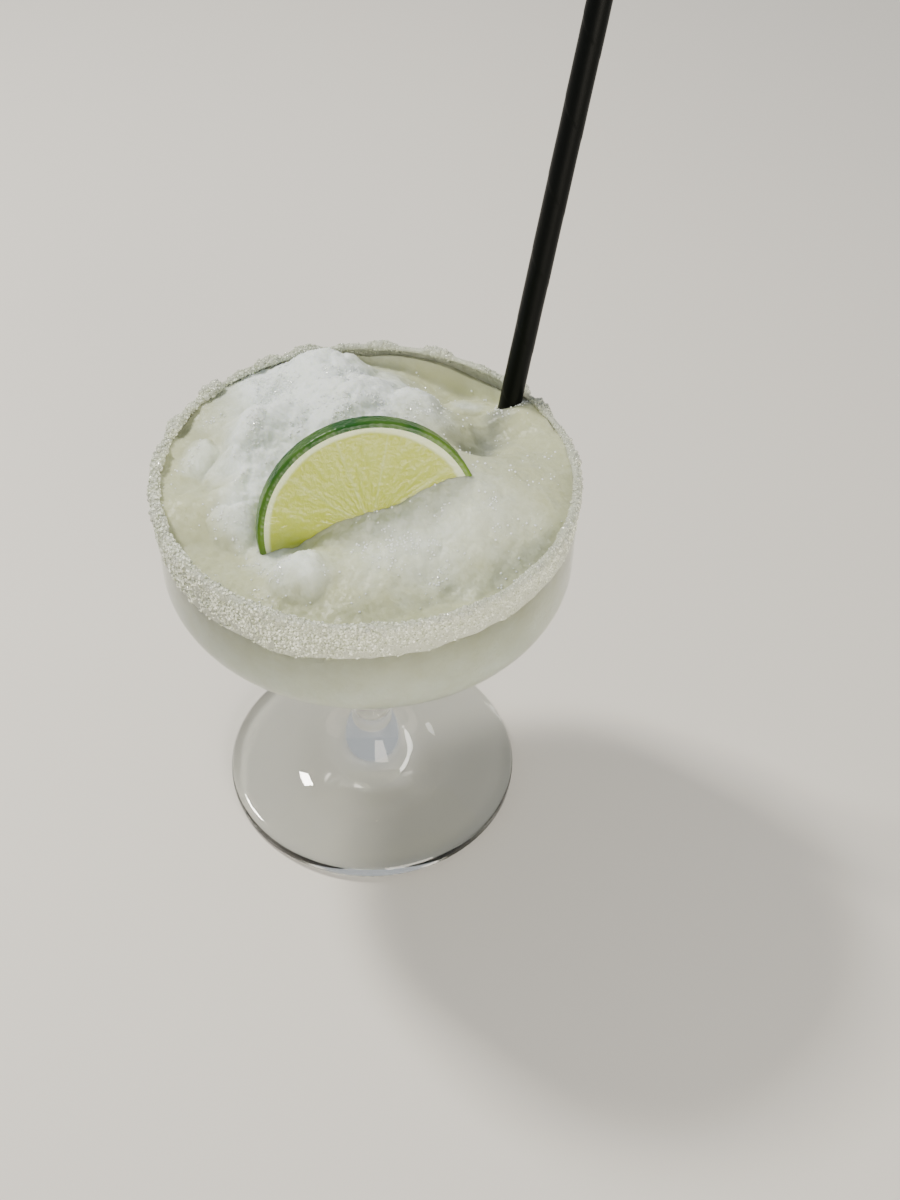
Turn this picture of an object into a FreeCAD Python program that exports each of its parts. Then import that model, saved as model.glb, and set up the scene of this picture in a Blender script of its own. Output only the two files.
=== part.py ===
import FreeCAD, Part
import math
import os
import Sketcher
from FreeCAD import Placement, Rotation, Vector

# Frozen margarita served in its footed glass: the glass, a crust of coarse salt on its lip,
# the heaped slush, a wheel of lime pushed into the slush and a drinking straw.
# Millimetres, +Z up. The origin is the centre of the flat underside of the foot.
# +X is the right of the drink and -Y its front, where the lime faces.

SIZES = {
    # Glass, one revolved piece.
    "rim_radius": 52.0,
    "glass_height": 112.5,
    "wall": 1.6,
    "wall_drop": 23.3,
    "knuckle_radius": 11.1,
    "bowl_depth": 46.0,
    "bowl_floor": 3.0,
    "bowl_flare": 9.0,
    "stem_radius": 4.6,
    "foot_flare": 24.0,
    "foot_slope": 6.0,
    "foot_radius": 41.0,
    "foot_edge": 4.3,
    "foot_top_round": 2.4,
    "foot_bottom_round": 1.0,
    # Salt crust on the lip.
    "salt_band": 11.0,
    "salt_thickness": 0.9,
    "salt_cap": 1.0,
    "salt_band_waver": 1.4,
    "salt_thickness_waver": 0.4,
    "salt_cap_waver": 0.9,
    "salt_inner_lap": 0.25,
    # Slush.
    "slush_drop": 5.6,
    "heap_height": 15.0,
    "heap_radius": 40.0,
    "heap_x": -4.0,
    "heap_y": 13.0,
    # Lime wheel.
    "lime_radius": 27.1,
    "lime_thickness": 4.6,
    "lime_edge_round": 0.8,
    "lime_x": 1.9,
    "lime_y": -15.6,
    "lime_sink": 3.7,
    "lime_turn": 14.0,
    "lime_lean": 19.4,
    # Straw.
    "straw_radius": 2.9,
    "straw_wall": 0.4,
    "straw_length": 150.0,
    "straw_azimuth": 41.5,
    "straw_lean": 10.8,
    # Clearance between the straw and the glass that it leans on.
    "seat_gap": 0.3,
}

# Lumps and hollows of the slush: x, y, radius and height of each, in millimetres.
# A negative height is a hollow.
SLUSH_LUMPS = [
    (27.0, -8.0, 27.0, 10.0),
    (42.0, 8.0, 20.0, 4.0),
    (2.0, -27.0, 20.0, 3.5),
    (-14.0, -32.0, 11.0, 4.0),
    (-26.0, -20.0, 15.0, -2.5),
    (-37.0, -12.0, 12.0, 3.0),
    (-30.0, -8.0, 10.0, 3.0),
    (-26.0, 10.0, 13.0, 4.5),
    (-45.0, 10.0, 20.0, 3.5),
    (-40.0, 28.0, 14.0, 3.0),
    (-20.0, 35.0, 20.0, 4.5),
    (-13.0, 42.0, 15.0, 4.5),
    (-35.0, 16.0, 15.0, 2.5),
    (-6.0, 20.0, 12.0, 2.0),
    (14.0, 19.0, 13.0, 2.5),
    (35.0, 29.0, 10.0, 4.0),
    (22.0, 42.0, 20.0, -4.5),
    (27.0, 12.0, 10.0, -3.0),
    (-49.0, -10.0, 16.0, 4.2),
    (-50.0, 8.0, 12.0, 1.4),
    (-41.0, 27.0, 15.0, 1.4),
    (-33.0, 38.0, 12.0, 2.2),
    (49.0, -12.0, 16.0, 3.0),
    (50.0, 6.0, 14.0, 1.6),
    (47.0, 19.0, 11.0, 2.2),
    (42.0, 27.0, 9.0, 3.6),
]
SURFACE_POINTS = 37
SURFACE_MARGIN = 6.0
SALT_SPOKES = 120
# The salt crust's section: thickness at its foot, waist and shoulder as shares of the full
# thickness, drop of its bulge and waist as shares of the band, and height of the foot's slope.
SALT_FOOT_SHARE = 0.45
SALT_WAIST_SHARE = 0.85
SALT_SHOULDER_SHARE = 0.6
SALT_BULGE_DROP = 0.7
SALT_WAIST_DROP = 0.35
SALT_FOOT_SLOPE = 0.6
# Waves round the salt crust: how many to a turn, their share of the waver and their phase.
SALT_WAVES = [(9, 0.42, 0.6), (16, 0.34, 2.1), (29, 0.24, 4.4)]


def make_sheet(doc):
    """Write every driving size into the spreadsheet, one row each, under its own alias."""
    sheet = doc.addObject("Spreadsheet::Sheet", "Sizes")
    for row, (name, value) in enumerate(SIZES.items(), start=1):
        sheet.set(f"A{row}", name)
        sheet.set(f"B{row}", str(value))
        sheet.setAlias(f"B{row}", name)
    doc.recompute()
    return sheet


def origin_plane(body, role):
    """The plane of the body's own origin that has this role."""
    return next(item for item in body.Origin.OriginFeatures if item.Role == role)


def new_sketch(body, name, role):
    """An empty sketch attached to one of its body's own origin planes."""
    sketch = body.newObject("Sketcher::SketchObject", name)
    sketch.AttachmentSupport = (origin_plane(body, role), [""])
    sketch.MapMode = "FlatFace"
    return sketch


def bowl_sizes(size):
    """Centres and radii of the arcs of the bowl, outside and inside, from the sheet."""
    reach = size.rim_radius - size.knuckle_radius
    knuckle_z = size.glass_height - size.wall_drop
    bottom_z = size.glass_height - size.bowl_depth
    floor_z = bottom_z + size.bowl_floor
    arcs = {"reach": reach, "knuckle_z": knuckle_z, "floor_z": floor_z}
    for side, low_z, knuckle in (
        ("outer", bottom_z, size.knuckle_radius),
        ("inner", floor_z, size.knuckle_radius - size.wall),
    ):
        rise = knuckle_z - low_z
        radius = (reach**2 + rise**2 - knuckle**2) / (2 * (rise - knuckle))
        arcs[side] = radius
        arcs[side + "_z"] = low_z + radius
        arcs[side + "_turn"] = math.atan2(knuckle_z - low_z - radius, reach)
        arcs[side + "_knuckle"] = knuckle
    return arcs


def floor_arc_formula(low, knuckle):
    """The radius of a bowl's floor arc as an expression on the sheet."""
    reach = "(Sizes.rim_radius - Sizes.knuckle_radius)"
    rise = f"(Sizes.glass_height - Sizes.wall_drop - ({low}))"
    return f"({reach}^2 + {rise}^2 - ({knuckle})^2) / (2 * ({rise} - ({knuckle})))"


def line(x1, z1, x2, z2):
    return Part.LineSegment(Vector(x1, z1, 0), Vector(x2, z2, 0))


def arc(x, z, radius, start, end):
    """An arc of a circle in the sketch plane, counter-clockwise, angles in radians."""
    circle = Part.Circle(Vector(x, z, 0), Vector(0, 0, 1), radius)
    return Part.ArcOfCircle(circle, start, end)


START, END, CENTRE = 1, 2, 3
ROOT_POINT = (-1, 1)
VERTICAL_AXIS = -2


def name_size(sketch, kind, name, formula, *where):
    """Add one dimension to a sketch and drive it from the sheet."""
    index = sketch.addConstraint(Sketcher.Constraint(kind, *where))
    sketch.renameConstraint(index, name)
    sketch.setExpression(f"Constraints.{name}", formula)


def make_glass(doc, size):
    """The glass: round foot, flared stem and a bowl with an upright wall, revolved in one piece."""
    body = doc.addObject("PartDesign::Body", "Glass")
    body.Label = "glass"
    sketch = new_sketch(body, "GlassProfile", "XZ_Plane")
    bowl = bowl_sizes(size)
    rim, top, wall = size.rim_radius, size.glass_height, size.wall
    foot, edge = size.foot_radius, size.foot_edge
    low_round, high_round = size.foot_bottom_round, size.foot_top_round
    slope = math.radians(size.foot_slope)
    quarter = math.pi / 2

    # The foot's sloping top runs from its rounded edge to the arc that sweeps up into the stem.
    edge_x, edge_z = foot - high_round, edge - high_round
    slope_x = edge_x + high_round * math.sin(slope)
    slope_z = edge_z + high_round * math.cos(slope)
    flare_x = size.stem_radius + size.foot_flare
    flare_z = slope_z + (size.foot_flare - (flare_x - slope_x) * math.sin(slope)) / math.cos(slope)
    meet_x = flare_x - size.foot_flare * math.sin(slope)
    meet_z = flare_z - size.foot_flare * math.cos(slope)

    # The stem opens into the underside of the bowl.
    neck_x = size.stem_radius + size.bowl_flare
    neck_z = bowl["outer_z"] - math.sqrt((bowl["outer"] + size.bowl_flare) ** 2 - neck_x**2)
    neck_turn = math.atan2(bowl["outer_z"] - neck_z, -neck_x)
    under_turn = math.atan2(neck_z - bowl["outer_z"], neck_x)
    reach, knuckle_z = bowl["reach"], bowl["knuckle_z"]

    geometry = [
        line(0, 0, 0, bowl["floor_z"]),
        line(0, 0, foot - low_round, 0),
        arc(foot - low_round, low_round, low_round, -quarter, 0),
        line(foot, low_round, foot, edge_z),
        arc(edge_x, edge_z, high_round, 0, quarter - slope),
        line(slope_x, slope_z, meet_x, meet_z),
        arc(flare_x, flare_z, size.foot_flare, math.pi, 3 * quarter - slope),
        line(size.stem_radius, flare_z, size.stem_radius, neck_z),
        arc(neck_x, neck_z, size.bowl_flare, neck_turn, math.pi),
        arc(0, bowl["outer_z"], bowl["outer"], under_turn, bowl["outer_turn"]),
        arc(reach, knuckle_z, size.knuckle_radius, bowl["outer_turn"], 0),
        line(rim, knuckle_z, rim, top - wall / 2),
        arc(rim - wall / 2, top - wall / 2, wall / 2, 0, math.pi),
        line(rim - wall, top - wall / 2, rim - wall, knuckle_z),
        arc(reach, knuckle_z, bowl["inner_knuckle"], bowl["inner_turn"], 0),
        arc(0, bowl["inner_z"], bowl["inner"], -quarter, bowl["inner_turn"]),
    ]
    sketch.addGeometry(geometry, False)
    (axis, under, low_arc, side, high_arc, slant, foot_arc, stem, neck_arc, bottom_arc,
     knuckle, outer_wall, lip, inner_wall, inner_knuckle, floor_arc) = range(len(geometry))

    smooth_joints = [
        (under, END, low_arc, START), (low_arc, END, side, START), (side, END, high_arc, START),
        (high_arc, END, slant, START), (slant, END, foot_arc, END), (foot_arc, START, stem, START),
        (stem, END, neck_arc, END), (neck_arc, START, bottom_arc, START),
        (bottom_arc, END, knuckle, START), (knuckle, END, outer_wall, START),
        (outer_wall, END, lip, START), (lip, END, inner_wall, START),
        (inner_wall, END, inner_knuckle, END), (inner_knuckle, START, floor_arc, END),
    ]
    for joint in smooth_joints:
        sketch.addConstraint(Sketcher.Constraint("Tangent", *joint))
    sketch.addConstraint(Sketcher.Constraint("Coincident", axis, START, *ROOT_POINT))
    sketch.addConstraint(Sketcher.Constraint("Coincident", under, START, *ROOT_POINT))
    sketch.addConstraint(Sketcher.Constraint("Coincident", floor_arc, START, axis, END))
    sketch.addConstraint(Sketcher.Constraint("Coincident", inner_knuckle, CENTRE, knuckle, CENTRE))
    for upright in (axis, side, stem, outer_wall, inner_wall):
        sketch.addConstraint(Sketcher.Constraint("Vertical", upright))
    sketch.addConstraint(Sketcher.Constraint("Horizontal", under))
    for centred in (bottom_arc, floor_arc):
        on_axis = Sketcher.Constraint("PointOnObject", centred, CENTRE, VERTICAL_AXIS)
        sketch.addConstraint(on_axis)

    name_size(sketch, "Radius", "foot_bottom_round", "Sizes.foot_bottom_round", low_arc, low_round)
    name_size(sketch, "Radius", "foot_top_round", "Sizes.foot_top_round", high_arc, high_round)
    name_size(sketch, "Radius", "foot_flare", "Sizes.foot_flare", foot_arc, size.foot_flare)
    name_size(sketch, "Radius", "bowl_flare", "Sizes.bowl_flare", neck_arc, size.bowl_flare)
    name_size(sketch, "Radius", "knuckle", "Sizes.knuckle_radius", knuckle, size.knuckle_radius)
    name_size(sketch, "Radius", "lip", "Sizes.wall / 2", lip, wall / 2)
    bottom = "Sizes.glass_height - Sizes.bowl_depth"
    name_size(sketch, "Radius", "bottom", floor_arc_formula(bottom, "Sizes.knuckle_radius"),
              bottom_arc, bowl["outer"])
    name_size(sketch, "Angle", "foot_slope", "180 deg - Sizes.foot_slope * 1 deg",
              slant, math.pi - slope)
    name_size(sketch, "DistanceX", "foot", "Sizes.foot_radius", *ROOT_POINT, side, START, foot)
    name_size(sketch, "DistanceX", "stem", "Sizes.stem_radius",
              *ROOT_POINT, stem, START, size.stem_radius)
    name_size(sketch, "DistanceX", "rim", "Sizes.rim_radius", *ROOT_POINT, outer_wall, START, rim)
    name_size(sketch, "DistanceY", "edge", "Sizes.foot_edge - Sizes.foot_top_round",
              *ROOT_POINT, high_arc, CENTRE, edge_z)
    name_size(sketch, "DistanceY", "knuckle_height", "Sizes.glass_height - Sizes.wall_drop",
              *ROOT_POINT, knuckle, CENTRE, knuckle_z)
    name_size(sketch, "DistanceY", "lip_height", "Sizes.glass_height - Sizes.wall / 2",
              *ROOT_POINT, lip, CENTRE, top - wall / 2)
    name_size(sketch, "DistanceY", "floor_height", bottom + " + Sizes.bowl_floor",
              *ROOT_POINT, axis, END, bowl["floor_z"])

    turn = body.newObject("PartDesign::Revolution", "GlassTurn")
    turn.Profile = sketch
    turn.ReferenceAxis = (sketch, ["V_Axis"])
    turn.Angle = 360.0
    sketch.Visibility = False
    return body


def slush_height(size, x, y):
    """Height of the slush's surface at x, y: a level, one broad heap and its lumps."""
    def bump(distance, radius):
        share = min(distance / radius, 1.0)
        return (1 - share**2) ** 2

    z = size.glass_height - size.slush_drop
    z += size.heap_height * bump(math.hypot(x - size.heap_x, y - size.heap_y), size.heap_radius)
    for lump_x, lump_y, radius, height in SLUSH_LUMPS:
        z += height * bump(math.hypot(x - lump_x, y - lump_y), radius)
    return z


def make_slush_fill(doc, size):
    """The inside of the bowl as a revolved solid, carried up as far as the slush is heaped."""
    body = doc.addObject("PartDesign::Body", "SlushFill")
    sketch = new_sketch(body, "FillProfile", "XZ_Plane")
    bowl = bowl_sizes(size)
    inside = size.rim_radius - size.wall
    top = size.glass_height + size.heap_height + SURFACE_MARGIN
    reach, knuckle_z = bowl["reach"], bowl["knuckle_z"]
    geometry = [
        line(0, bowl["floor_z"], 0, top),
        line(0, top, inside, top),
        line(inside, top, inside, knuckle_z),
        arc(reach, knuckle_z, bowl["inner_knuckle"], bowl["inner_turn"], 0),
        arc(0, bowl["inner_z"], bowl["inner"], -math.pi / 2, bowl["inner_turn"]),
    ]
    sketch.addGeometry(geometry, False)
    axis, lid, wall, knuckle, floor = range(len(geometry))
    for joint in ((wall, END, knuckle, END), (knuckle, START, floor, END)):
        sketch.addConstraint(Sketcher.Constraint("Tangent", *joint))
    for corner in ((axis, END, lid, START), (lid, END, wall, START), (floor, START, axis, START)):
        sketch.addConstraint(Sketcher.Constraint("Coincident", *corner))
    for upright in (axis, wall):
        sketch.addConstraint(Sketcher.Constraint("Vertical", upright))
    sketch.addConstraint(Sketcher.Constraint("Horizontal", lid))
    for point in ((axis, START), (floor, CENTRE)):
        sketch.addConstraint(Sketcher.Constraint("PointOnObject", *point, VERTICAL_AXIS))
    name_size(sketch, "Radius", "knuckle", "Sizes.knuckle_radius - Sizes.wall",
              knuckle, bowl["inner_knuckle"])
    name_size(sketch, "DistanceX", "inside", "Sizes.rim_radius - Sizes.wall",
              *ROOT_POINT, wall, START, inside)
    name_size(sketch, "DistanceY", "knuckle_height", "Sizes.glass_height - Sizes.wall_drop",
              *ROOT_POINT, knuckle, CENTRE, knuckle_z)
    name_size(sketch, "DistanceY", "floor_height",
              "Sizes.glass_height - Sizes.bowl_depth + Sizes.bowl_floor",
              *ROOT_POINT, axis, START, bowl["floor_z"])
    name_size(sketch, "DistanceY", "top",
              f"Sizes.glass_height + Sizes.heap_height + {SURFACE_MARGIN}",
              *ROOT_POINT, axis, END, top)
    turn = body.newObject("PartDesign::Revolution", "FillTurn")
    turn.Profile = sketch
    turn.ReferenceAxis = (sketch, ["V_Axis"])
    turn.Angle = 360.0
    return body


def make_slush_mound(doc, size):
    """Everything under the slush's uneven surface, as a block wider than the bowl."""
    half = size.rim_radius + SURFACE_MARGIN
    steps = [half * (2 * i / (SURFACE_POINTS - 1) - 1) for i in range(SURFACE_POINTS)]
    rows = [[Vector(x, y, slush_height(size, x, y)) for y in steps] for x in steps]
    surface = Part.BSplineSurface()
    surface.interpolate(rows)
    mound = doc.addObject("Part::Feature", "SlushMound")
    mound.Shape = surface.toShape().extrude(Vector(0, 0, -size.glass_height))
    return mound


def lime_placement(size):
    """The lime stands on edge: turned about the upright, then leaning back."""
    centre = Vector(size.lime_x, size.lime_y, size.glass_height - size.lime_sink)
    upright = Rotation(Vector(1, 0, 0), 90 - size.lime_lean)
    return Placement(centre, Rotation(Vector(0, 0, 1), size.lime_turn) * upright)


def make_lime(doc, size):
    """The lime wheel: a disc cut across the fruit, its peel side slightly rounded."""
    body = doc.addObject("PartDesign::Body", "LimeSlice")
    body.Label = "lime_slice"
    sketch = new_sketch(body, "LimeOutline", "XY_Plane")
    sketch.addGeometry(Part.Circle(Vector(0, 0, 0), Vector(0, 0, 1), size.lime_radius), False)
    sketch.addConstraint(Sketcher.Constraint("Coincident", 0, CENTRE, *ROOT_POINT))
    name_size(sketch, "Radius", "lime_radius", "Sizes.lime_radius", 0, size.lime_radius)
    pad = body.newObject("PartDesign::Pad", "LimePad")
    pad.Profile = sketch
    pad.setExpression("Length", "Sizes.lime_thickness")
    pad.Reversed = True
    doc.recompute()
    edge = body.newObject("PartDesign::Fillet", "LimeEdge")
    rims = [f"Edge{i}" for i, item in enumerate(pad.Shape.Edges, start=1) if item.isClosed()]
    edge.Base = (pad, rims)
    edge.setExpression("Radius", "Sizes.lime_edge_round")
    body.Placement = lime_placement(size)
    return body


def straw_line(size):
    """The straw's axis: its point at the lip's height, where it leans on the wall, and direction."""
    azimuth = math.radians(size.straw_azimuth)
    lean = math.radians(size.straw_lean)
    outward = Vector(math.cos(azimuth), math.sin(azimuth), 0)
    inside = size.rim_radius - size.wall
    distance = inside - size.seat_gap - size.straw_radius / math.cos(lean)
    at_lip = outward * distance + Vector(0, 0, size.glass_height)
    return at_lip, outward * math.sin(lean) + Vector(0, 0, math.cos(lean))


def straw_reach(size):
    """How far below the lip, along the straw, its lower end comes to rest in the bowl."""
    bowl = bowl_sizes(size)
    lean = math.radians(size.straw_lean)
    at_lip, _ = straw_line(size)

    def room(depth):
        """Clearance of the end's outer corner to the inside of the bowl."""
        radial = math.hypot(at_lip.x, at_lip.y) - depth * math.sin(lean)
        radial += size.straw_radius * math.cos(lean)
        z = at_lip.z - depth * math.cos(lean) - size.straw_radius * math.sin(lean)
        if z > bowl["knuckle_z"]:
            return size.rim_radius - size.wall - radial
        from_knuckle = Vector(radial - bowl["reach"], z - bowl["knuckle_z"], 0)
        if math.atan2(from_knuckle.y, from_knuckle.x) > bowl["inner_turn"]:
            return bowl["inner_knuckle"] - from_knuckle.Length
        return bowl["inner"] - math.hypot(radial, z - bowl["inner_z"])

    near, far = 0.0, size.bowl_depth
    while far - near > 1e-6:
        middle = (near + far) / 2
        if room(middle) > size.seat_gap:
            near = middle
        else:
            far = middle
    return near


def straw_placement(size):
    at_lip, direction = straw_line(size)
    return Placement(at_lip - direction * straw_reach(size), Rotation(Vector(0, 0, 1), direction))


def make_straw(doc, size):
    """The straw: a plain tube that leans on the lip and rests in the bowl."""
    body = doc.addObject("PartDesign::Body", "Straw")
    body.Label = "straw"
    sketch = new_sketch(body, "StrawSection", "XY_Plane")
    for index, (name, radius, formula) in enumerate((
        ("outer", size.straw_radius, "Sizes.straw_radius"),
        ("bore", size.straw_radius - size.straw_wall, "Sizes.straw_radius - Sizes.straw_wall"),
    )):
        sketch.addGeometry(Part.Circle(Vector(0, 0, 0), Vector(0, 0, 1), radius), False)
        sketch.addConstraint(Sketcher.Constraint("Coincident", index, CENTRE, *ROOT_POINT))
        name_size(sketch, "Radius", name, formula, index, radius)
    pad = body.newObject("PartDesign::Pad", "StrawPad")
    pad.Profile = sketch
    pad.setExpression("Length", "Sizes.straw_length")
    body.Placement = straw_placement(size)
    return body


def make_slush(doc, size, lime):
    """The slush: the bowl's inside up to the uneven surface, cut round the lime and the straw."""
    heap = doc.addObject("Part::Common", "SlushHeap")
    heap.Base = make_slush_fill(doc, size)
    heap.Tool = make_slush_mound(doc, size)
    round_lime = doc.addObject("Part::Cut", "SlushRoundLime")
    round_lime.Base = heap
    round_lime.Tool = lime
    hole = doc.addObject("Part::Cylinder", "StrawHole")
    hole.setExpression("Radius", "Sizes.straw_radius")
    hole.setExpression("Height", "Sizes.straw_length")
    hole.Placement = straw_placement(size)
    slush = doc.addObject("Part::Cut", "Slush")
    slush.Label = "slush"
    slush.Base = round_lime
    slush.Tool = hole
    return slush


def salt_section(size, turn):
    """Corners of the salt crust's section at one turn: radius and height of each, in order."""
    wave = sum(share * math.sin(count * turn + shift) for count, share, shift in SALT_WAVES)
    band = size.salt_band + size.salt_band_waver * wave
    thick = size.salt_thickness + size.salt_thickness_waver * wave
    cap = size.salt_cap + size.salt_cap_waver * wave
    rim, top, wall = size.rim_radius, size.glass_height, size.wall
    return [
        (rim - wall / 2, top - band),
        (rim + SALT_FOOT_SHARE * thick, top - band + SALT_FOOT_SLOPE),
        (rim + thick, top - SALT_BULGE_DROP * band),
        (rim + SALT_WAIST_SHARE * thick, top - SALT_WAIST_DROP * band),
        (rim + thick, top - wall),
        (rim + SALT_SHOULDER_SHARE * thick, top + SALT_SHOULDER_SHARE * cap),
        (rim - wall / 2, top + cap),
        (rim - wall, top + SALT_SHOULDER_SHARE * cap),
        (rim - wall - size.salt_inner_lap, top - wall / 2),
        (rim - wall / 2, top - wall),
    ]


def make_salt(doc, size, glass):
    """The salt crust: an uneven ring over the lip and down the outside, cut to fit the glass."""
    turns = [2 * math.pi * i / SALT_SPOKES for i in range(SALT_SPOKES)]
    sections = [salt_section(size, turn) for turn in turns]
    corners = len(sections[0])
    points = [
        Vector(r * math.cos(turn), r * math.sin(turn), z)
        for turn, section in zip(turns, sections)
        for r, z in section
    ]
    facets = []
    for spoke in range(SALT_SPOKES):
        here, after = spoke * corners, (spoke + 1) % SALT_SPOKES * corners
        for corner in range(corners):
            beyond = (corner + 1) % corners
            facets.append((here + corner, after + corner, after + beyond))
            facets.append((here + corner, after + beyond, here + beyond))
    skin = Part.Shape()
    skin.makeShapeFromMesh((points, facets), 0.001)
    ring = Part.Solid(Part.Shell(skin.Faces))
    if ring.Volume < 0:
        ring.reverse()
    blank = doc.addObject("Part::Feature", "SaltBlank")
    blank.Shape = ring
    salt = doc.addObject("Part::Cut", "SaltRim")
    salt.Label = "salt_rim"
    salt.Base = blank
    salt.Tool = glass
    return salt


def check(doc, pieces):
    """Stop if any object failed or any piece isn't one valid solid."""
    for item in doc.Objects:
        if "Invalid" in item.State or "Error" in item.State:
            raise RuntimeError(f"{item.Name} did not rebuild: {item.State}")
    for piece in pieces:
        shape = piece.Shape
        if shape.isNull() or not shape.isValid() or len(shape.Solids) != 1:
            raise RuntimeError(f"{piece.Label} is not one valid solid: {len(shape.Solids)}")


def main():
    doc = FreeCAD.newDocument("FrozenMargarita")
    size = make_sheet(doc)
    glass = make_glass(doc, size)
    lime = make_lime(doc, size)
    straw = make_straw(doc, size)
    slush = make_slush(doc, size, lime)
    salt = make_salt(doc, size, glass)
    doc.recompute()
    pieces = [glass, slush, salt, lime, straw]
    check(doc, pieces)
    os.makedirs("parts", exist_ok=True)
    for piece in pieces:
        piece.Shape.exportStep(f"parts/{piece.Label}.step")
        box = piece.Shape.BoundBox
        print(f"{piece.Label}: {piece.Shape.Volume / 1000:.2f} cm3, {len(piece.Shape.Faces)} faces,",
              f"z {box.ZMin:.2f} to {box.ZMax:.2f}")


main()
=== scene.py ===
import math

import bmesh
import bpy
import numpy as np
from bpy.props import FloatProperty, FloatVectorProperty, IntProperty, PointerProperty
from mathutils import Matrix, Vector


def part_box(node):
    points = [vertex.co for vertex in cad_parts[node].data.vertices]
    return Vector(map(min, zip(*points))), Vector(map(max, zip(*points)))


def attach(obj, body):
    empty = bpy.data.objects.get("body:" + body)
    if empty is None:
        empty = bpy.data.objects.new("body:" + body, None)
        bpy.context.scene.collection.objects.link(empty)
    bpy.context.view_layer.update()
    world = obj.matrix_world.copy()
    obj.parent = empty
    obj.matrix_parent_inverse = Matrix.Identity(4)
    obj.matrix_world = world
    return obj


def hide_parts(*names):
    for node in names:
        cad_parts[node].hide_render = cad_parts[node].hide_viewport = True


bl_info = {
    "name": "Frozen Margarita",
    "version": (1, 0, 0),
    "blender": (4, 5, 0),
    "location": "3D View > Sidebar > Margarita",
    "description": "Builds the looks of a frozen margarita round its fixed frame",
    "category": "Object",
}

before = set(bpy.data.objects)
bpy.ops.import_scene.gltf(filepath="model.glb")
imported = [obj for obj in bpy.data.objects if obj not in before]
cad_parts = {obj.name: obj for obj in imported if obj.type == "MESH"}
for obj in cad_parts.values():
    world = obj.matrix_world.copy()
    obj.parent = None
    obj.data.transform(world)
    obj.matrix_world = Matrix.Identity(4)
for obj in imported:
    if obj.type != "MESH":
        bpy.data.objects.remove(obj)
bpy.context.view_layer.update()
MM = 0.001
TAU = 2 * math.pi

# Sizes that the frame's boxes give, in millimetres.
GLASS_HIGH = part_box("glass")[1]
RIM_RADIUS = GLASS_HIGH[0] / MM
LIP = GLASS_HIGH[2] / MM

# The bowl, in millimetres, as the glass is made.
WALL = 1.6
WALL_DROP = 23.3
KNUCKLE_RADIUS = 11.1
BOWL_DEPTH = 46.0
BOWL_FLOOR = 3.0
INSIDE = RIM_RADIUS - WALL

# The lime wheel's place: centre of its cut face, turn about the upright and lean, in degrees.
LIME_CENTRE = (1.9, -15.6, LIP - 3.7)
LIME_TURN = 14.0
LIME_LEAN = 19.4

# The straw's place: it leans out on the lip.
STRAW_AZIMUTH = 41.5
STRAW_LEAN = 10.8
STRAW_RADIUS = 2.9

# The slush: level below the lip, then x, y, radius and height of the heap and its lumps.
SLUSH_DROP = 5.6
SLUSH_LUMPS = [
    (-4, 13, 40, 15), (27, -8, 27, 10), (42, 8, 20, 4), (2, -27, 20, 3.5), (-14, -32, 11, 4),
    (-26, -20, 15, -2.5), (-37, -12, 12, 3), (-30, -8, 10, 3), (-26, 10, 13, 4.5),
    (-45, 10, 20, 3.5), (-40, 28, 14, 3), (-20, 35, 20, 4.5), (-13, 42, 15, 4.5),
    (-35, 16, 15, 2.5), (-6, 20, 12, 2), (14, 19, 13, 2.5), (35, 29, 10, 4), (22, 42, 20, -4.5),
    (27, 12, 10, -3), (-49, -10, 16, 4.2), (-50, 8, 12, 1.4), (-41, 27, 15, 1.4),
    (-33, 38, 12, 2.2), (49, -12, 16, 3), (50, 6, 14, 1.6), (47, 19, 11, 2.2), (42, 27, 9, 3.6),
]
# Knobs and hollows with a crisp edge: x, y, radius and height.
SLUSH_KNOBS = [
    (-28, 31, 6.5, 1.8), (-18, 39, 8, 1.3), (-4, 43, 5.5, 2), (0, 26, 6.5, 1.8), (-7, 21, 6, 1.6),
    (11, 24, 6.5, 1.7), (24, 35, 6, 2), (-20, 17, 8, 1.6), (-29, 10, 6.5, 2.2), (-33, 1, 6, 2.2),
    (-33.5, -8, 6, 2.3), (-31.5, -16, 6.5, 2.3), (-22, -22, 5, 1), (-13.8, -32.5, 7.5, 1.6),
    (-42, 6, 4.5, 1.6), (-38.5, -11, 5, 0.8), (9, -19, 9, 0.9), (25, -27, 8, 0.7),
    (40, 36, 4, 1.5), (29.5, 20.5, 5, -1), (27.5, 12, 5.5, -1.4), (21, -35, 4, -0.7),
]
# Wet hollows where the ice is thin and clear, so it looks darker, and painted shade by the straw's
# foot and in the notch beside it: x, y, radius and how much.
CLEAR_AND_SHADED_PATCHES = [
    (33, 26.5, 6.5, 1), (29, 18.5, 8, 1), (27, 10, 8, 0.8), (20, 14, 8, 0.3), (-46, 14, 12, 0.25),
    (-42, 28, 10, 0.25),
]
# Where wet salt and ice have set in clumps on the lip: azimuth, half width in degrees, amount.
LIP_CLUMPS = [
    (9, 4, 0.7), (-8, 4, 0.5), (20, 3, 0.4), (33, 4, 0.8), (45, 5, 1), (57, 3, 0.5), (72, 5, 0.9),
    (89, 4, 0.9), (99, 4, 0.5), (112, 5, 0.9), (124, 4, 0.9), (134, 4, 0.5), (144, 5, 1),
    (153, 3, 0.6), (162, 5, 0.9), (176, 6, 0.8), (190, 4, 0.6), (201, 6, 0.7), (216, 5, 0.6),
    (232, 5, 0.5), (251, 6, 0.5), (275, 7, 0.5), (300, 6, 0.5), (321, 6, 0.6), (338, 5, 0.6),
]
# Where the lip is nearly bare glass: azimuth and half width in degrees.
BARE_LIP = [(81, 3), (65, 2), (38.5, 1.5), (26, 2), (105, 1.5), (139, 1.5)]
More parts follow.
